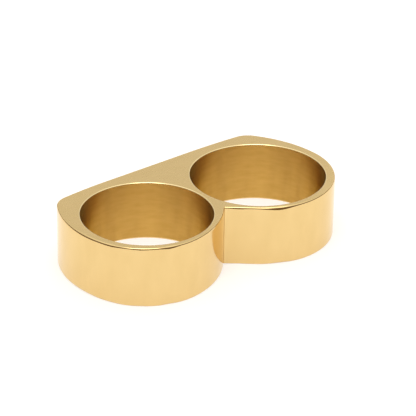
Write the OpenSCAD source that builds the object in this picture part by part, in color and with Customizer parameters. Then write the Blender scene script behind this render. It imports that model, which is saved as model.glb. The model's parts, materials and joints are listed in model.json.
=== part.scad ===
// Two finger ring: one solid band of even height with two finger bores side by side,
// a flat face across the back of both fingers and a V groove between the round bands in front.
// It lies on its side as in the photo: bores along Z, flat face towards +Y, millimetres.
// The origin is at the middle of the base.

/* [Finger bores] */
// Diameter of the smaller bore, US ring size 7
small_bore_d = 17.35; // [16.5:0.05:18]
// Diameter of the larger bore, US ring size 8
large_bore_d = 18.2; // [17.4:0.05:19]
// Thickness of the web between the two bores
web_t = 0.85; // [0.7:0.05:1.6]
// Width of the bright chamfer round each bore's rims
bore_chamfer = 0.15; // [0.05:0.05:0.3]

/* [Bands] */
// Height of the ring, along the fingers
band_h = 8.4; // [6:0.1:12]
// Wall of the smaller band, at its front
small_wall_t = 0.85; // [0.8:0.05:1.6]
// Wall of the larger band, at its front
large_wall_t = 1.0; // [0.8:0.05:1.6]
// How far each band's outer round is shifted outboard of its bore
outboard = 0.4; // [0:0.05:0.5]
// Width of the broken outer edges
edge_break = 0.1; // [0.05:0.05:0.2]

/* [Flat face] */
// Thickness of the plate between the flat face and each bore
plate_t = 1.9; // [1.2:0.1:2.4]
// Radius of the bulged side that runs from the smaller band up to the flat face
small_side_r = 14; // [13:1:17]
// Radius of the bulged side that runs from the larger band up to the flat face
large_side_r = 16; // [14:1:19]
// How far in front of the smaller bore's axis the side leaves the smaller band
small_side_start = 3; // [1:0.1:3.5]
// How far in front of the smaller bore's axis the side leaves the larger band
large_side_start = 0.4; // [0:0.1:2]
// Corner radius between the flat face and the side of the smaller band
small_corner_r = 2; // [0.8:0.1:2.5]
// Corner radius between the flat face and the side of the larger band
large_corner_r = 3; // [0.8:0.1:3.5]

/* [Groove] */
// Slope of the groove's flank on the smaller band, from the long axis
small_flank_deg = 36; // [34:1:42]
// Slope of the groove's flank on the larger band, from the long axis
large_flank_deg = 41; // [38:1:46]

/* [Hidden] */
$fn = 96;
MARGIN = 1;      // how far a cutting shape reaches past what it cuts
FLANK_W = 3;     // width of a flank bar, which hides inside the bands behind it
OVERLAP = 0.005; // how far shapes that would only touch run into each other, so they cross cleanly

small_r = small_bore_d / 2;
large_r = large_bore_d / 2;
small_outer_r = small_r + small_wall_t;
large_outer_r = large_r + large_wall_t;

// Plan of the ring about the smaller bore's axis: centres of the bores and of the rounds
flat_y = small_r + plate_t;
small_bore = [0, 0];
large_bore = [small_r + web_t + large_r, small_r - large_r];
small_round = small_bore - [outboard, 0];
large_round = large_bore + [outboard, 0];

// Centre of a side arc that touches a band's round where y = -start.
// dir is -1 for the side towards -X and 1 for the side towards +X.
function side_centre(round, outer_r, side_r, start, dir) =
    let (a = asin((start + round.y) / outer_r))
    round + (side_r - outer_r + OVERLAP) * [-dir * cos(a), sin(a)];

small_side = side_centre(small_round, small_outer_r, small_side_r, small_side_start, -1);
large_side = side_centre(large_round, large_outer_r, large_side_r, large_side_start, 1);

// Middle of the plan's bounding box, which becomes the origin
x_min = small_side.x - small_side_r;
x_max = large_side.x + large_side_r;
y_min = large_round.y - large_outer_r;
centre = [(x_min + x_max) / 2, (y_min + flat_y) / 2];

// Upright section from x = 0 out to a wall with broken edges at x = w. It is as high as the
// ring, and over is how far it runs on past both end faces, at the slope of the broken edges.
function section(w, over = 0) = [
    [0, -over], [w - edge_break - over, -over], [w, edge_break],
    [w, band_h - edge_break], [w - edge_break - over, band_h + over], [0, band_h + over]
];

// Disc of the ring's height with broken edges
module disc(at, r) {
    translate(at) rotate_extrude() polygon(section(r));
}

// Bar of the ring's height: its broken-edged wall runs from at along dir_deg, and the bar
// lies to the left of that run. Its end faces are those of the slab that it is cut from.
module bar(at, dir_deg, length, w) {
    intersection() {
        translate([at.x - length, at.y - length, 0]) cube([2 * length, 2 * length, band_h]);
        translate(at) rotate(dir_deg) rotate([90, 0, 90])
            linear_extrude(length) mirror([1, 0]) translate([-w, 0])
                polygon(section(w, over = MARGIN));
    }
}

// What rounding takes off the corner between the flat face and a side arc: the plan between
// the rounding's two end radii, outside its disc
module corner_waste(side, side_r, corner_r, dir) {
    y = flat_y - corner_r;
    c = [side.x + dir * sqrt(pow(side_r - corner_r, 2) - pow(y - side.y, 2)), y];
    to_flat = [0, 1];
    to_side = (c - side) / norm(c - side);
    reach = corner_r + MARGIN;
    difference() {
        translate([c.x, c.y, -MARGIN]) linear_extrude(band_h + 2 * MARGIN)
            polygon([[0, 0], reach * to_flat, reach * (to_flat + to_side), reach * to_side]);
        disc(c, corner_r + OVERLAP);
    }
}

// One end of the plate behind the bores: its stretch of the flat face, its bulged side and
// the rounded corner between them
module plate_end(side, side_r, start, corner_r, dir) {
    difference() {
        intersection() {
            disc(side, side_r);
            bar([x_max + MARGIN, flat_y], 180, x_max - x_min + 2 * MARGIN, flat_y + start);
        }
        corner_waste(side, side_r, corner_r, dir);
    }
}

// Rounds of both bands, with the straight flanks of the groove that leave them
module bands() {
    length = small_r;
    small_start = small_round
        + (small_outer_r - OVERLAP) * [sin(small_flank_deg), -cos(small_flank_deg)];
    large_end = large_round
        - (large_outer_r - OVERLAP) * [sin(large_flank_deg), cos(large_flank_deg)];
    large_run = [cos(large_flank_deg), -sin(large_flank_deg)];
    disc(small_round, small_outer_r);
    disc(large_round, large_outer_r);
    bar(small_start, small_flank_deg, length, FLANK_W);
    bar(large_end - length * large_run, -large_flank_deg, length, FLANK_W);
}

// Finger bore with a chamfer at both rims
module finger_bore(at, r) {
    translate([at.x, at.y, band_h / 2]) {
        cylinder(h = band_h + 2 * MARGIN, r = r, center = true);
        for (end = [0, 1]) mirror([0, 0, end])
            translate([0, 0, band_h / 2 - bore_chamfer])
                cylinder(h = bore_chamfer + MARGIN, r1 = r, r2 = r + bore_chamfer + MARGIN);
    }
}

module ring_body() {
    color("goldenrod") translate([-centre.x, -centre.y, 0]) difference() {
        union() {
            plate_end(small_side, small_side_r, small_side_start, small_corner_r, -1);
            plate_end(large_side, large_side_r, large_side_start, large_corner_r, 1);
            bands();
        }
        finger_bore(small_bore, small_r);
        finger_bore(large_bore, large_r);
    }
}

ring_body();
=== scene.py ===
"""Looks of a one-piece gold two finger ring that lies on its side on a pale floor."""
import json
import logging
import math
from dataclasses import dataclass, field
from enum import IntEnum

import bmesh
import bpy
from mathutils import Matrix, Vector


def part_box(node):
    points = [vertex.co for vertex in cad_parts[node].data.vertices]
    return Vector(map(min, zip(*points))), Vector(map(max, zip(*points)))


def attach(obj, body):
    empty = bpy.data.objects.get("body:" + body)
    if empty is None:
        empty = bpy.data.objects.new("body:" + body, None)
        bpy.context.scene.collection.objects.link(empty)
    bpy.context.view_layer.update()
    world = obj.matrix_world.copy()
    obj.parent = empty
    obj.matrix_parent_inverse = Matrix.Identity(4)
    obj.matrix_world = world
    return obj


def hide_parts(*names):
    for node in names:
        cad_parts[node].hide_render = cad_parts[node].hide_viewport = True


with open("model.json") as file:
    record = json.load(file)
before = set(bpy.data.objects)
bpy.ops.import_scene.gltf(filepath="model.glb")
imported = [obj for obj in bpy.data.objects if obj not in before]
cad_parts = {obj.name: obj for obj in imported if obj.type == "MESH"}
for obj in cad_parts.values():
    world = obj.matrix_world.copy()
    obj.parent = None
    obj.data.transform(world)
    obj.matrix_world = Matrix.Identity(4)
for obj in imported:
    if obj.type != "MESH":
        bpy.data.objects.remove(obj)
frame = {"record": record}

log = logging.getLogger("two_finger_ring")

Brightness = float | bpy.types.NodeSocket

MM = 0.001
NODE = "ring_body"
UV_NAME = "worked_mm"
PHOTO_PX = 416
Z_AXIS = Vector((0, 0, 1))
# Edges that bend by more than this stay sharp in the shading
CREASE = math.radians(30)
# Edges that bend by more than this are still square and have to be broken
SQUARE = math.radians(80)
# How far off, in millimetres, a point still counts as on a bore's wall or on an end face
ON_WALL = 0.01
ON_END_FACE = 1e-4
# Points of the outline that are closer than this, in millimetres, are one point
SAME_POINT = 0.001
LEAST_ARC_STEPS = 4
# The weight at which the large faces decide the shading of the small ones beside them
LARGE_FACES_LEAD = 100
# The part of its range that a noise texture mostly fills, and how many finer layers it has
NOISE_SPAN = (0.3, 0.7)
PATCH_DETAIL, GRAIN_DETAIL, WAVE_DETAIL = 3.0, 2.0, 1.0
# The turn that lays the brushed metal's long highlight across its streaks
QUARTER_TURN = 0.25


class Zone(IntEnum):
    """Which of the ring's surfaces a face belongs to, as its material's index."""

    WALL = 0
    END_FACE = 1
    BORE = 2
    RIM = 3
    GROOVE = 4


def linear(hex_colour: str) -> tuple[float, float, float, float]:
    """Turns an sRGB hex colour into linear RGBA, by the curve that the sRGB standard gives.

    Args:
        hex_colour: The colour as "#rrggbb".

    Returns:
        Linear red, green, blue and an alpha of 1.
    """
    parts = [int(hex_colour[i:i + 2], 16) / 255 for i in (1, 3, 5)]
    lit = [c / 12.92 if c <= 0.04045 else ((c + 0.055) / 1.055) ** 2.4 for c in parts]
    return (*lit, 1.0)


def add_node(tree: bpy.types.NodeTree, kind: str, inputs: dict[str | int, object] | None = None,
             **settings: object) -> bpy.types.Node:
    """Adds a node with its settings, and sets or links its inputs.

    Args:
        tree: The node tree that gets the node.
        kind: The node's Blender type name.
        inputs: Input name or index to a value, or to the output socket that feeds it.
        settings: The node's own properties.

    Returns:
        The new node.
    """
    node = tree.nodes.new(kind)
    for name, value in settings.items():
        setattr(node, name, value)
    for name, value in (inputs or {}).items():
        if isinstance(value, bpy.types.NodeSocket):
            tree.links.new(value, node.inputs[name])
        else:
            node.inputs[name].default_value = value
    return node


@dataclass(frozen=True)
class GoldFinish:
    """Gold plated steel, worked in one way.

    Polished gold turns what it mirrors a warm yellow, and every further bounce between two gold
    walls makes it deeper and more orange, which is what colours the bores and the groove.
    Patches vary the roughness, streaks vary the tone and grain is the relief of the tool's marks,
    each with its length along the working direction and its width across it. The wave is the
    faint swell of the whole surface, and the edge tint is what is left of a grazing reflection.
    """

    name: str
    colour: str
    worn_colour: str
    roughness_low: float
    roughness_high: float
    patch_mm: tuple[float, float]
    streak_mm: tuple[float, float]
    grain_mm: tuple[float, float]
    grain_depth_mm: float
    wave_mm: float
    wave_depth_mm: float
    anisotropy: float = 0.0
    edge_tint: str = "#FFFFFF"

    def material(self) -> bpy.types.Material:
        """Builds the finish as a material.

        Returns:
            The material, whose patterns run along the ring's own UV map in millimetres.
        """
        made = bpy.data.materials.new(self.name)
        made.use_nodes = True
        tree = made.node_tree
        shader = tree.nodes["Principled BSDF"]
        shader.inputs["Metallic"].default_value = 1.0
        shader.inputs["Specular Tint"].default_value = linear(self.edge_tint)
        shader.inputs["Anisotropic"].default_value = self.anisotropy
        shader.inputs["Anisotropic Rotation"].default_value = QUARTER_TURN
        worked = add_node(tree, "ShaderNodeUVMap", uv_map=UV_NAME).outputs["UV"]
        noise_low, noise_high = NOISE_SPAN
        patches = self.noise(tree, worked, self.patch_mm, PATCH_DETAIL)
        roughness = add_node(tree, "ShaderNodeMapRange", {
            "Value": patches, "From Min": noise_low, "From Max": noise_high,
            "To Min": self.roughness_low, "To Max": self.roughness_high})
        tree.links.new(roughness.outputs["Result"], shader.inputs["Roughness"])
        streaks = self.noise(tree, worked, self.streak_mm, PATCH_DETAIL)
        wear = add_node(tree, "ShaderNodeMapRange", {
            "Value": streaks, "From Min": noise_low, "From Max": noise_high})
        tone = add_node(tree, "ShaderNodeMix", {
            "Factor": wear.outputs["Result"], "A": linear(self.worn_colour), "B": linear(self.colour)},
            data_type="RGBA")
        tree.links.new(tone.outputs["Result"], shader.inputs["Base Color"])
        place = add_node(tree, "ShaderNodeTexCoord").outputs["Object"]
        wave = add_node(tree, "ShaderNodeTexNoise", {
            "Vector": place, "Scale": 1 / (self.wave_mm * MM), "Detail": WAVE_DETAIL}).outputs["Fac"]
        swell = add_node(tree, "ShaderNodeBump", {"Height": wave, "Distance": self.wave_depth_mm * MM})
        grain = self.noise(tree, worked, self.grain_mm, GRAIN_DETAIL)
        scratch = add_node(tree, "ShaderNodeBump", {
            "Height": grain, "Distance": self.grain_depth_mm * MM, "Normal": swell.outputs["Normal"]})
        tree.links.new(scratch.outputs["Normal"], shader.inputs["Normal"])
        if self.anisotropy:
            tangent = add_node(tree, "ShaderNodeTangent", direction_type="UV_MAP", uv_map=UV_NAME)
            tree.links.new(tangent.outputs["Tangent"], shader.inputs["Tangent"])
        return made

    @staticmethod
    def noise(tree: bpy.types.NodeTree, worked: bpy.types.NodeSocket, size_mm: tuple[float, float],
              detail: float) -> bpy.types.NodeSocket:
        """Adds noise whose spots have one length along the working direction and one across it.

        Args:
            tree: The material's node tree.
            worked: The UV coordinates, in millimetres.
            size_mm: A spot's length along U and its width along V.
            detail: How many finer layers the noise has.

        Returns:
            The noise, from 0 to 1.
        """
        scale = add_node(tree, "ShaderNodeMapping", {
            "Vector": worked, "Scale": (1 / size_mm[0], 1 / size_mm[1], 1.0)}, vector_type="POINT")
        return add_node(tree, "ShaderNodeTexNoise", {
            "Vector": scale.outputs["Vector"], "Scale": 1.0, "Detail": detail}).outputs["Fac"]


# The lines that brushing and lapping leave in the real metal are about 0.05 mm wide, which is too
# fine to show. They are drawn 0.3 to 0.6 mm wide, as coarse as they need to be for the render.

# Buffed on a wheel: close to a mirror, with the faint swell that buffing leaves
BUFFED_WALL = GoldFinish(
    "gold_plate_buffed", colour="#E6C98E", worn_colour="#E2C488", roughness_low=0.07,
    roughness_high=0.11, patch_mm=(6.0, 3.0), streak_mm=(2.0, 5.0), grain_mm=(3.0, 0.4),
    grain_depth_mm=0.0002, wave_mm=5.0, wave_depth_mm=0.004)
# Lapped flat on a fine plate: a soft sheen without a clear reflection
LAPPED_FACE = GoldFinish(
    "gold_plate_lapped", colour="#E1C284", worn_colour="#DDBE7F", roughness_low=0.24,
    roughness_high=0.3, patch_mm=(2.5, 2.5), streak_mm=(2.5, 2.0), grain_mm=(0.6, 0.4),
    grain_depth_mm=0.0001, wave_mm=4.0, wave_depth_mm=0.002)
# Turned and brushed round the finger: fine streaks along the wall, which spread light up and
# down, and a wall that goes dark where it turns away from the eye
BRUSHED_BORE = GoldFinish(
    "gold_plate_brushed", colour="#DAB161", worn_colour="#D2A858", roughness_low=0.36,
    roughness_high=0.48, patch_mm=(1.1, 9.0), streak_mm=(2.2, 0.6), grain_mm=(2.2, 0.4),
    grain_depth_mm=0.0002, wave_mm=2.0, wave_depth_mm=0.002, anisotropy=0.9, edge_tint="#4C4038")
# Broken with a fine stone: a narrow bright line with a soft edge. Its gold is painted paler and
# brighter than the rest of the plate, a painted highlight on that line
RIM_PAINTED_HIGHLIGHT = GoldFinish(
    "gold_rim_painted_highlight", colour="#F4DCA4", worn_colour="#F0D69C", roughness_low=0.13,
    roughness_high=0.17, patch_mm=(1.0, 1.0), streak_mm=(1.0, 0.3), grain_mm=(1.0, 0.3),
    grain_depth_mm=0.0002, wave_mm=4.0, wave_depth_mm=0.002)
# Filed, but out of the buffing wheel's reach: rougher than the walls. Its gold is also painted
# darker, a painted shade line at the bottom of the groove, where the crease lies in shade
GROOVE_PAINTED_SHADE = GoldFinish(
    "gold_groove_painted_shade", colour="#DEBA78", worn_colour="#D6B270", roughness_low=0.35,
    roughness_high=0.45, patch_mm=(0.5, 2.0), streak_mm=(0.5, 1.0), grain_mm=(0.3, 0.3),
    grain_depth_mm=0.0005, wave_mm=4.0, wave_depth_mm=0.002)

# The rims' finish is a paler gold, a painted highlight, and the groove's a darker gold, a painted shade line
FINISHES = {
    Zone.WALL: BUFFED_WALL, Zone.END_FACE: LAPPED_FACE, Zone.BORE: BRUSHED_BORE,
    Zone.RIM: RIM_PAINTED_HIGHLIGHT, Zone.GROOVE: GROOVE_PAINTED_SHADE}


@dataclass
class OutlinePen:
    """Draws the ring's plan as one chain of edges, in millimetres, with the metal on its left."""

    mesh: bmesh.types.BMesh
    start: Vector
    step_mm: float
    tip: bmesh.types.BMVert = field(init=False)

    def __post_init__(self) -> None:
        """Puts the pen down at its start."""
        self.tip = self.mesh.verts.new((*self.start, 0.0))

    def arc(self, centre: Vector, sweep_deg: float) -> None:
        """Draws an arc about a centre.

        Args:
            centre: The arc's centre in plan.
            sweep_deg: How far it turns, anticlockwise from above.
        """
        radius = (self.tip.co.xy - centre).length
        sweep = math.radians(sweep_deg)
        steps = max(LEAST_ARC_STEPS, round(abs(sweep) * radius / self.step_mm))
        spun = bmesh.ops.spin(
            self.mesh, geom=[self.tip], cent=(*centre, 0.0), axis=Z_AXIS, angle=sweep, steps=steps,
            use_merge=False, use_duplicate=False)
        self.tip = next(e for e in spun["geom_last"] if isinstance(e, bmesh.types.BMVert))

    def line(self, end: Vector) -> None:
        """Draws a straight stretch.

        Args:
            end: Where it ends in plan.
        """
        steps = max(1, round((end - self.tip.co.xy).length / self.step_mm))
        stride = (end - self.tip.co.xy) / steps
        for _ in range(steps):
            self.tip = bmesh.ops.extrude_vert_indiv(self.mesh, verts=[self.tip])["verts"][0]
            self.tip.co.xy += stride


@dataclass(frozen=True)
class BuffedSpot:
    """A short stretch of the outer edge that buffing has rounded further than the rest."""

    at: tuple[float, float]
    reach: float
    extra: float

    def share(self, place: Vector) -> float:
        """Gives how much larger the rounding is at a place, as a share of its usual size."""
        away = (place - Vector(self.at)).length
        return self.extra * math.exp(-(away / self.reach) ** 2)


@dataclass(frozen=True)
class Shoulder:
    """Where along X the flat face starts to fall away towards an end, and with what radius."""

    x: float
    bend_r: float


@dataclass
class FingerBore:
    """One finger bore, as the record's mount gives it."""

    mount: str
    step_mm: float
    centre: Vector = field(init=False)
    radius: float = field(init=False)

    def __post_init__(self) -> None:
        """Reads the bore's place and radius from the record, in millimetres."""
        mount = next(m for m in frame["record"]["mounts"] if m["name"] == self.mount)
        self.centre = Vector(mount["pos_m"][:2]) / MM
        self.radius = mount["dims"]["r_mm"]

    def draw(self, mesh: bmesh.types.BMesh) -> None:
        """Draws the bore's circle on the base.

        Args:
            mesh: The ring's mesh, in millimetres.
        """
        sides = round(math.tau * self.radius / self.step_mm)
        bmesh.ops.create_circle(
            mesh, segments=sides, radius=self.radius, matrix=Matrix.Translation((*self.centre, 0.0)))

    def touches(self, vert: bmesh.types.BMVert) -> bool:
        """Tells whether a corner lies on the bore's circle, seen from above."""
        return abs((vert.co.xy - self.centre).length - self.radius) < ON_WALL

    def holds(self, face: bmesh.types.BMFace) -> bool:
        """Tells whether a face lies on the bore's wall."""
        return all(self.touches(vert) for vert in face.verts)


@dataclass
class RingBody:
    """The ring: two round bands, a plate with a flat face behind them and a V groove in front.

    Sizes are in millimetres. The rounding of the outer edge reaches edge_r inwards and edge_roll
    times as far down the wall, and the groove's dull line, painted darker as a painted shade line,
    goes groove_reach fillet radii from the bottom of the groove.
    """

    small_wall: float = 0.85
    large_wall: float = 1.0
    outboard: float = 0.4
    small_side_r: float = 14.0
    large_side_r: float = 16.0
    small_side_start: float = 3.0
    large_side_start: float = 0.4
    small_corner_r: float = 2.8
    large_corner_r: float = 3.0
    small_shoulder: Shoulder = Shoulder(-8.3, 70.0)
    large_shoulder: Shoulder = Shoulder(6.0, 110.0)
    small_leave_deg: float = 10.0
    small_flank_deg: float = 36.0
    large_flank_deg: float = 41.0
    groove_r: float = 0.09
    groove_reach: float = 1.3
    edge_r: float = 0.14
    edge_roll: float = 2.2
    edge_segments: int = 5
    rim_r: float = 0.17
    rim_segments: int = 4
    step_mm: float = 0.15
    spots: tuple[BuffedSpot, ...] = (
        BuffedSpot((5.25, -9.6), 1.7, 1.5), BuffedSpot((1.15, -6.1), 0.9, 0.5),
        BuffedSpot((-12.9, -9.05), 1.0, 0.9), BuffedSpot((-16.1, -7.2), 0.9, 0.4),
        BuffedSpot((-18.5, -3.95), 1.2, 0.5), BuffedSpot((-19.4, 0.5), 3.5, 0.9))
    small: FingerBore = field(init=False)
    large: FingerBore = field(init=False)
    height: float = field(init=False)
    flat_y: float = field(init=False)
    groove: Vector = field(init=False)

    def __post_init__(self) -> None:
        """Reads what the frame gives: the bores, the height and the flat face."""
        self.small = FingerBore("small_bore", self.step_mm)
        self.large = FingerBore("large_bore", self.step_mm)
        low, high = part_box(NODE)
        self.height = (high.z - low.z) / MM
        self.flat_y = high.y / MM

    @property
    def bores(self) -> tuple[FingerBore, FingerBore]:
        """Both bores, the smaller one first."""
        return self.small, self.large

    @staticmethod
    def heading(angle_deg: float) -> Vector:
        """Gives the unit vector at an angle from the X axis in plan."""
        return Vector((math.cos(math.radians(angle_deg)), math.sin(math.radians(angle_deg))))

    @staticmethod
    def bearing(way: Vector) -> float:
        """Gives the angle of a vector in plan from the X axis, in degrees."""
        return math.degrees(math.atan2(way.y, way.x))

    @staticmethod
    def side_centre(round_at: Vector, outer_r: float, side_r: float, start: float,
                    towards: int) -> tuple[Vector, float]:
        """Places the bulged side arc that touches a band's round.

        Args:
            round_at: Centre of the band's round.
            outer_r: Radius of the band's round.
            side_r: Radius of the side arc.
            start: How far in front of the smaller bore's axis the side leaves the round.
            towards: -1 for the side towards -X and 1 for the side towards +X.

        Returns:
            The side arc's centre, and the angle from the X axis at which it leaves the round.
        """
        angle = math.asin((start + round_at.y) / outer_r)
        away = Vector((-towards * math.cos(angle), math.sin(angle)))
        return round_at + (side_r - outer_r) * away, math.degrees(angle)

    @staticmethod
    def corner_centre(side: Vector, side_r: float, shoulder: Vector, shoulder_r: float,
                      corner_r: float, towards: int) -> Vector:
        """Places the rounding between a side arc and the shoulder where the flat face falls away.

        Args:
            side: Centre of the side arc.
            side_r: Radius of the side arc.
            shoulder: Centre of the shoulder's arc.
            shoulder_r: Radius of the shoulder's arc.
            corner_r: Radius of the rounding.
            towards: -1 for the corner towards -X and 1 for the corner towards +X.

        Returns:
            The rounding's centre.
        """
        gap = shoulder - side
        run = gap.normalized()
        reach = side_r - corner_r
        along = (reach ** 2 - (shoulder_r - corner_r) ** 2 + gap.length_squared) / (2 * gap.length)
        across = towards * math.sqrt(reach ** 2 - along ** 2)
        return side + along * run + across * Vector((-run.y, run.x))

    def groove_apex(self, small_meet: Vector, large_meet: Vector) -> Vector:
        """Finds where the groove's two slopes cross.

        Args:
            small_meet: Where the smaller band's slope touches that band's round.
            large_meet: Where the larger band's slope touches that band's round.

        Returns:
            The bottom of the groove in plan.
        """
        small_run = self.heading(self.small_flank_deg)
        large_run = self.heading(-self.large_flank_deg)
        share = (large_meet - small_meet).cross(large_run) / small_run.cross(large_run)
        return small_meet + share * small_run

    def draw_outline(self, mesh: bmesh.types.BMesh) -> None:
        """Draws the outer outline on the base, anticlockwise from the left end of the front.

        Args:
            mesh: The ring's mesh, in millimetres.
        """
        small_r = self.small.radius + self.small_wall
        large_r = self.large.radius + self.large_wall
        small_round = self.small.centre - Vector((self.outboard, 0))
        large_round = self.large.centre + Vector((self.outboard, 0))
        small_side, small_angle = self.side_centre(
            small_round, small_r, self.small_side_r, self.small_side_start, -1)
        large_side, large_angle = self.side_centre(
            large_round, large_r, self.large_side_r, self.large_side_start, 1)
        small_bend, large_bend = self.small_shoulder.bend_r, self.large_shoulder.bend_r
        small_shoulder = Vector((self.small_shoulder.x, self.flat_y - small_bend))
        large_shoulder = Vector((self.large_shoulder.x, self.flat_y - large_bend))
        small_corner = self.corner_centre(
            small_side, self.small_side_r, small_shoulder, small_bend, self.small_corner_r, -1)
        large_corner = self.corner_centre(
            large_side, self.large_side_r, large_shoulder, large_bend, self.large_corner_r, 1)
        small_up = self.bearing(small_corner - small_side)
        large_up = self.bearing(large_corner - large_side)
        small_end = self.bearing(small_corner - small_shoulder)
        large_end = self.bearing(large_corner - large_shoulder)

        # The smaller band's flank is one slightly bulged arc from its round to the groove's fillet
        small_leave = small_round + small_r * self.heading(self.small_leave_deg - 90)
        small_meet = small_round + small_r * self.heading(self.small_flank_deg - 90)
        large_meet = large_round + large_r * self.heading(-self.large_flank_deg - 90)
        self.groove = self.groove_apex(small_meet, large_meet)
        chord = self.groove - small_leave
        half_turn = math.radians(self.bearing(chord) - self.small_leave_deg)
        flank_r = chord.length / (2 * math.sin(half_turn))
        flank = small_leave + flank_r * self.heading(self.small_leave_deg + 90)
        meet_deg = self.small_leave_deg + math.degrees(2 * half_turn)
        turn = meet_deg + self.large_flank_deg
        short = math.degrees(self.groove_r * math.tan(math.radians(turn / 2)) / flank_r)

        pen = OutlinePen(mesh, small_round - small_r * self.heading(small_angle), self.step_mm)
        pen.arc(small_round, 90 + self.small_leave_deg - small_angle)
        pen.arc(flank, meet_deg - short - self.small_leave_deg)
        pen.arc(pen.tip.co.xy + self.groove_r * self.heading(meet_deg - short - 90), -turn)
        pen.line(large_meet)
        pen.arc(large_round, 90 + self.large_flank_deg - large_angle)
        pen.arc(large_side, large_up + large_angle)
        pen.arc(large_corner, large_end - large_up)
        pen.arc(large_shoulder, 90 - large_end)
        pen.line(Vector((self.small_shoulder.x, self.flat_y)))
        pen.arc(small_shoulder, small_end - 90)
        pen.arc(small_corner, small_up - small_end)
        pen.arc(small_side, 180 + small_angle - small_up)
        bmesh.ops.remove_doubles(mesh, verts=mesh.verts[:], dist=SAME_POINT)

    def raise_walls(self, mesh: bmesh.types.BMesh) -> None:
        """Raises the walls from the outline and both bores, and closes both end faces.

        Args:
            mesh: The ring's mesh, in millimetres, with its outline drawn.
        """
        for bore in self.bores:
            bore.draw(mesh)
        walls = bmesh.ops.extrude_edge_only(mesh, edges=mesh.edges[:])["geom"]
        tops = [g for g in walls if isinstance(g, bmesh.types.BMVert)]
        bmesh.ops.translate(mesh, verts=tops, vec=(0, 0, self.height))
        for end_z in (0.0, self.height):
            rim = [e for e in mesh.edges if all(abs(v.co.z - end_z) < ON_END_FACE for v in e.verts)]
            filled = bmesh.ops.triangle_fill(mesh, edges=rim, use_beauty=True, normal=Z_AXIS)
            for face in filled["geom"]:
                if isinstance(face, bmesh.types.BMFace):
                    face.material_index = Zone.END_FACE
        bmesh.ops.recalc_face_normals(mesh, faces=mesh.faces[:])

    def at_bore(self, edge: bmesh.types.BMEdge) -> bool:
        """Tells whether an edge is on the rim of a bore."""
        return any(bore.touches(vert) for bore in self.bores for vert in edge.verts)

    def break_edges(self, mesh: bmesh.types.BMesh) -> None:
        """Rounds the outer edges and the rims of the bores.

        Args:
            mesh: The ring's mesh, in millimetres, with square edges.
        """
        # The rims' faces get the paler gold of the painted highlight
        for of_bores, width, segments, zone in (
                (False, self.edge_r, self.edge_segments, Zone.WALL),
                (True, self.rim_r, self.rim_segments, Zone.RIM)):
            edges = [e for e in mesh.edges
                     if e.calc_face_angle(0.0) > SQUARE and self.at_bore(e) == of_bores]
            made = bmesh.ops.bevel(
                mesh, geom=edges, offset=width, offset_type="OFFSET", segments=segments, profile=0.5,
                affect="EDGES", clamp_overlap=False, loop_slide=False, material=-1)
            for face in made["faces"]:
                face.material_index = zone

    def roll_edges(self, mesh: bmesh.types.BMesh) -> None:
        """Draws the outer rounding out down the wall, as the buffing wheel leaves it.

        Args:
            mesh: The ring's mesh, in millimetres, with its edges broken.
        """
        mesh.normal_update()
        rim_width = 2 * self.rim_r
        shifts = []
        for vert in mesh.verts:
            if any((vert.co.xy - bore.centre).length <= bore.radius + rim_width for bore in self.bores):
                continue
            depth = min(vert.co.z, self.height - vert.co.z)
            if depth > self.edge_r + ON_END_FACE:
                continue
            share = sum(spot.share(vert.co.xy) for spot in self.spots)
            left = max(0.0, 1 - depth / self.edge_r)
            inward = self.edge_r * (1 - math.sqrt(1 - left ** 2))
            shifts.append((vert, -share * inward * vert.normal.xy.normalized()))
            rolled = depth * self.edge_roll * (1 + share)
            vert.co.z = rolled if vert.co.z < self.height / 2 else self.height - rolled
        for vert, shift in shifts:
            vert.co.xy += shift

    @staticmethod
    def crease_edges(mesh: bmesh.types.BMesh) -> None:
        """Keeps bent edges and the borders of the end faces sharp, and shades the rest smooth.

        Args:
            mesh: The ring's mesh, with its edges rolled.
        """
        for edge in mesh.edges:
            zones = {face.material_index for face in edge.link_faces}
            borders_end = Zone.END_FACE in zones and len(zones) > 1
            edge.smooth = edge.calc_face_angle(0.0) < CREASE and not borders_end
        for face in mesh.faces:
            face.smooth = True

    def set_zones(self, mesh: bmesh.types.BMesh) -> None:
        """Marks the walls of the bores and the dull, painted shade line at the bottom of the groove.

        Args:
            mesh: The ring's mesh, in millimetres, with its other zones set.
        """
        # The groove's faces get the darker gold of the painted shade line
        for face in mesh.faces:
            from_groove = (face.calc_center_median().xy - self.groove).length
            if any(bore.holds(face) for bore in self.bores):
                face.material_index = Zone.BORE
            elif from_groove < self.groove_reach * self.groove_r:
                face.material_index = Zone.GROOVE

    def unroll(self, mesh: bmesh.types.BMesh) -> None:
        """Gives the faces a UV map in millimetres that runs round the bores and across the rest.

        Args:
            mesh: The ring's mesh, in millimetres, with its zones set.
        """
        layer = mesh.loops.layers.uv.new(UV_NAME)
        for face in mesh.faces:
            if face.material_index == Zone.END_FACE:
                for loop in face.loops:
                    loop[layer].uv = loop.vert.co.xy
                continue
            middle = face.calc_center_median()
            bore = min(self.bores, key=lambda b: (middle.xy - b.centre).length)
            around = middle.xy - bore.centre
            base = math.atan2(around.y, around.x)
            for loop in face.loops:
                spoke = loop.vert.co.xy - bore.centre
                turn = around.angle_signed(spoke) if spoke.length else 0.0
                loop[layer].uv = ((base - turn) * bore.radius, loop.vert.co.z)

    @staticmethod
    def put_in_order(mesh: bmesh.types.BMesh) -> None:
        """Sorts corners, edges and faces by place, so that each run writes them in one order.

        Args:
            mesh: The ring's finished mesh.
        """
        def corners(element: bmesh.types.BMEdge | bmesh.types.BMFace) -> list[int]:
            """Gives the sorted indices of an element's corners."""
            return sorted(vert.index for vert in element.verts)

        for elements, key in (
                (mesh.verts, lambda vert: tuple(vert.co)),
                (mesh.edges, corners),
                (mesh.faces, corners)):
            rank = {element: place for place, element in enumerate(sorted(elements, key=key))}
            elements.sort(key=rank.get)
            elements.index_update()

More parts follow.
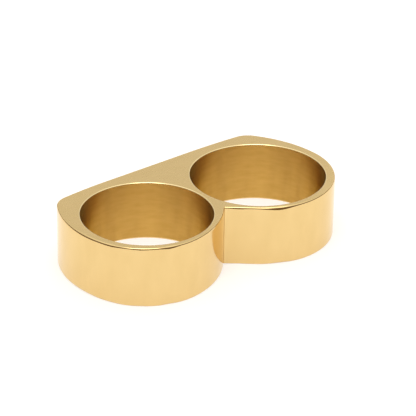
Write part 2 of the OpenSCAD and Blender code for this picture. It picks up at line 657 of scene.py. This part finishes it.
    def build(self) -> bpy.types.Object:
        """Builds the ring as one closed mesh with rolled outer edges and rounded bore rims.

        Returns:
            The ring's object, at the origin, with a finish for each of its zones.
        """
        mesh = bmesh.new()
        self.draw_outline(mesh)
        self.raise_walls(mesh)
        self.break_edges(mesh)
        self.roll_edges(mesh)
        self.crease_edges(mesh)
        self.set_zones(mesh)
        self.unroll(mesh)
        self.put_in_order(mesh)
        bmesh.ops.scale(mesh, verts=mesh.verts[:], vec=(MM, MM, MM))
        data = bpy.data.meshes.new("gold_ring")
        mesh.to_mesh(data)
        mesh.free()
        for zone in Zone:
            data.materials.append(FINISHES[zone].material())
        ring = bpy.data.objects.new("gold_ring", data)
        bpy.context.scene.collection.objects.link(ring)
        shading = ring.modifiers.new("even_shading", "WEIGHTED_NORMAL")
        shading.mode = "FACE_AREA"
        shading.weight = LARGE_FACES_LEAD
        shading.keep_sharp = True
        return ring


@dataclass(frozen=True)
class StudioLight:
    """A white product tent: brightest overhead, paler all round and dark at the horizon.

    The dark belt is missing straight behind the ring, low at its sides, and reaches high on the
    camera's side, where the tent is open. It draws the thin dark line along the ring's rounded
    top edge. The softbox over the camera keeps the floor in front of the ring bright right up to
    its walls. belt_tops_deg pairs how far a direction faces the camera, from -1 to 1, with the
    elevation of the belt's top there. side_span is in the same measure, and overhead_span and
    belt_blur are in sines of the elevation.
    """

    overhead: float = 1.2
    side: float = 0.85
    behind: float = 0.84
    side_span: tuple[float, float] = (-1.0, 0.2)
    overhead_span: tuple[float, float] = (0.62, 0.88)
    belt_colour: str = "#7C664E"
    belt_tops_deg: tuple[tuple[float, float], ...] = (
        (-0.97, -5.0), (-0.92, 10.0), (-0.85, 17.0), (-0.5, 20.0), (0.0, 26.0), (0.8, 34.0), (1.0, 52.0))
    belt_blur: float = 0.06
    softbox: float = 3.4
    softbox_up_deg: float = 66.0
    softbox_edge_deg: tuple[float, float] = (26.0, 12.0)
    camera_azimuth_deg: float = -40.0

    def build(self) -> None:
        """Sets the world's light."""
        world = bpy.data.worlds.new("tent")
        bpy.context.scene.world = world
        world.use_nodes = True
        tree = world.node_tree
        background = tree.nodes["Background"]
        place = add_node(tree, "ShaderNodeTexCoord").outputs["Generated"]
        height = add_node(tree, "ShaderNodeSeparateXYZ", {"Vector": place}).outputs["Z"]
        azimuth = math.radians(self.camera_azimuth_deg)
        to_camera = Vector((math.sin(azimuth), -math.cos(azimuth), 0.0))
        level = add_node(tree, "ShaderNodeVectorMath", {0: place, 1: (1.0, 1.0, 0.0)},
                         operation="MULTIPLY").outputs["Vector"]
        compass = add_node(tree, "ShaderNodeVectorMath", {0: level}, operation="NORMALIZE").outputs["Vector"]
        facing = add_node(tree, "ShaderNodeVectorMath", {0: compass, 1: to_camera},
                          operation="DOT_PRODUCT").outputs["Value"]
        around = self.blend(tree, facing, self.side_span, (self.behind, self.side))
        tent = self.blend(tree, height, self.overhead_span, (around, self.overhead))
        softbox_up = math.radians(self.softbox_up_deg)
        to_softbox = math.cos(softbox_up) * to_camera + math.sin(softbox_up) * Z_AXIS
        near = add_node(tree, "ShaderNodeVectorMath", {0: place, 1: to_softbox},
                        operation="DOT_PRODUCT").outputs["Value"]
        edge = tuple(math.cos(math.radians(angle)) for angle in self.softbox_edge_deg)
        lit = self.blend(tree, near, edge, (tent, self.overhead + self.softbox))
        above = add_node(tree, "ShaderNodeMath", {0: height, 1: self.belt_top(tree, facing)},
                         operation="SUBTRACT").outputs["Value"]
        share = add_node(tree, "ShaderNodeMapRange", {
            "Value": above, "From Min": -self.belt_blur, "From Max": self.belt_blur},
            interpolation_type="SMOOTHSTEP").outputs["Result"]
        colour = add_node(tree, "ShaderNodeMix", {
            "Factor": share, "A": linear(self.belt_colour), "B": lit}, data_type="RGBA").outputs["Result"]
        tree.links.new(colour, background.inputs["Color"])

    def belt_top(self, tree: bpy.types.NodeTree, facing: bpy.types.NodeSocket) -> bpy.types.NodeSocket:
        """Gives the height of the dark belt's top, from straight behind the ring to the camera.

        Args:
            tree: The world's node tree.
            facing: -1 behind the ring and 1 on the camera's side.

        Returns:
            The sine of the belt's top elevation.
        """
        top = math.sin(math.radians(self.belt_tops_deg[0][1]))
        for (start, low), (end, high) in zip(self.belt_tops_deg, self.belt_tops_deg[1:]):
            rise = math.sin(math.radians(high)) - math.sin(math.radians(low))
            step = add_node(tree, "ShaderNodeMapRange", {
                "Value": facing, "From Min": start, "From Max": end, "To Max": rise})
            top = add_node(tree, "ShaderNodeMath", {0: top, 1: step.outputs["Result"]}).outputs["Value"]
        return top

    @staticmethod
    def blend(tree: bpy.types.NodeTree, value: bpy.types.NodeSocket, span: tuple[float, float],
              ends: tuple[Brightness, Brightness]) -> bpy.types.NodeSocket:
        """Blends from one brightness to another while a value crosses a span.

        Args:
            tree: The world's node tree.
            value: What drives the blend.
            span: Where the blend starts and ends.
            ends: The brightness at either end, as a number or a socket.

        Returns:
            The blended brightness.
        """
        share = add_node(tree, "ShaderNodeMapRange", {
            "Value": value, "From Min": span[0], "From Max": span[1]}, interpolation_type="SMOOTHSTEP")
        return add_node(tree, "ShaderNodeMix", {
            "Factor": share.outputs["Result"], "A": ends[0], "B": ends[1]},
            data_type="FLOAT").outputs["Result"]


@dataclass(frozen=True)
class SidePanel:
    """A faint soft panel past the ring's right end, which lifts that end of the lapped face."""

    at_mm: tuple[float, float, float] = (87.0, 18.0, 40.0)
    size_mm: tuple[float, float] = (70.0, 60.0)
    power: float = 0.002

    def build(self) -> bpy.types.Object:
        """Builds the panel and turns it to the ring.

        Returns:
            The light's object.
        """
        panel = bpy.data.lights.new("side_panel", "AREA")
        panel.shape = "RECTANGLE"
        panel.size, panel.size_y = (side * MM for side in self.size_mm)
        panel.energy = self.power
        light = bpy.data.objects.new("side_panel", panel)
        bpy.context.scene.collection.objects.link(light)
        at = Vector(self.at_mm) * MM
        light.matrix_world = Matrix.Translation(at) @ (-at).to_track_quat("-Z", "Y").to_matrix().to_4x4()
        return light


@dataclass(frozen=True)
class Floor:
    """The pale floor that the ring lies on: a white sheet of plastic, lit from below as well."""

    width: float = 4.0
    colour: str = "#BDBBB8"
    glow_colour: str = "#FFFAF5"
    glow: float = 0.58

    def build(self) -> bpy.types.Object:
        """Builds the floor as a wide sheet.

        Returns:
            The floor's object.
        """
        mesh = bmesh.new()
        bmesh.ops.create_grid(mesh, x_segments=2, y_segments=2, size=self.width / 2)
        data = bpy.data.meshes.new("floor")
        mesh.to_mesh(data)
        mesh.free()
        data.materials.append(self.material())
        floor = bpy.data.objects.new("floor", data)
        bpy.context.scene.collection.objects.link(floor)
        return floor

    def material(self) -> bpy.types.Material:
        """Builds the floor's opal acrylic.

        Returns:
            The material.
        """
        # Sanded matt: it spreads light as paper does, shows no reflection and glows evenly
        sheet = bpy.data.materials.new("opal_acrylic_matt")
        sheet.use_nodes = True
        shader = sheet.node_tree.nodes["Principled BSDF"]
        shader.inputs["Base Color"].default_value = linear(self.colour)
        shader.inputs["Roughness"].default_value = 1.0
        shader.inputs["Specular IOR Level"].default_value = 0.0
        shader.inputs["Emission Color"].default_value = linear(self.glow_colour)
        shader.inputs["Emission Strength"].default_value = self.glow
        return sheet


@dataclass(frozen=True)
class StudioCamera:
    """The camera of the photograph, as fitted to the ring's outlines."""

    aim_mm: tuple[float, float, float] = (2.9165, 2.4189, 4.1083)
    distance_mm: float = 309.657
    azimuth_deg: float = -40.129
    elevation_deg: float = 27.622
    roll_deg: float = 0.93
    focal_px: float = 2303.4
    sensor_mm: float = 36.0
    clip_m: tuple[float, float] = (0.01, 10.0)

    def build(self) -> bpy.types.Object:
        """Builds the camera and makes it the scene's.

        Returns:
            The camera's object.
        """
        azimuth, elevation = math.radians(self.azimuth_deg), math.radians(self.elevation_deg)
        back = Vector((math.sin(azimuth) * math.cos(elevation),
                       -math.cos(azimuth) * math.cos(elevation), math.sin(elevation)))
        right = Vector((math.cos(azimuth), math.sin(azimuth), 0.0))
        turn = Matrix((right, back.cross(right), back)).transposed()
        turn @= Matrix.Rotation(math.radians(self.roll_deg), 3, "Z")
        lens = bpy.data.cameras.new("camera")
        lens.sensor_fit = "HORIZONTAL"
        lens.sensor_width = self.sensor_mm
        lens.lens = self.focal_px / PHOTO_PX * self.sensor_mm
        lens.clip_start, lens.clip_end = self.clip_m
        camera = bpy.data.objects.new("camera", lens)
        bpy.context.scene.collection.objects.link(camera)
        at = (Vector(self.aim_mm) + self.distance_mm * back) * MM
        camera.matrix_world = Matrix.Translation(at) @ turn.to_4x4()
        bpy.context.scene.camera = camera
        return camera


def main() -> None:
    """Builds the camera, the light, the floor and the ring in order."""
    logging.basicConfig(level=logging.INFO, format="%(name)s: %(message)s")
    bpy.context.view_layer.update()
    bpy.context.scene.view_settings.view_transform = "Standard"
    StudioCamera().build()
    log.info("camera set")
    StudioLight().build()
    SidePanel().build()
    log.info("light set")
    Floor().build()
    log.info("floor laid")
    ring = RingBody().build()
    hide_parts(NODE)
    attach(ring, "root")
    log.info("ring: %d faces", len(ring.data.polygons))


if __name__ == "__main__":
    main()
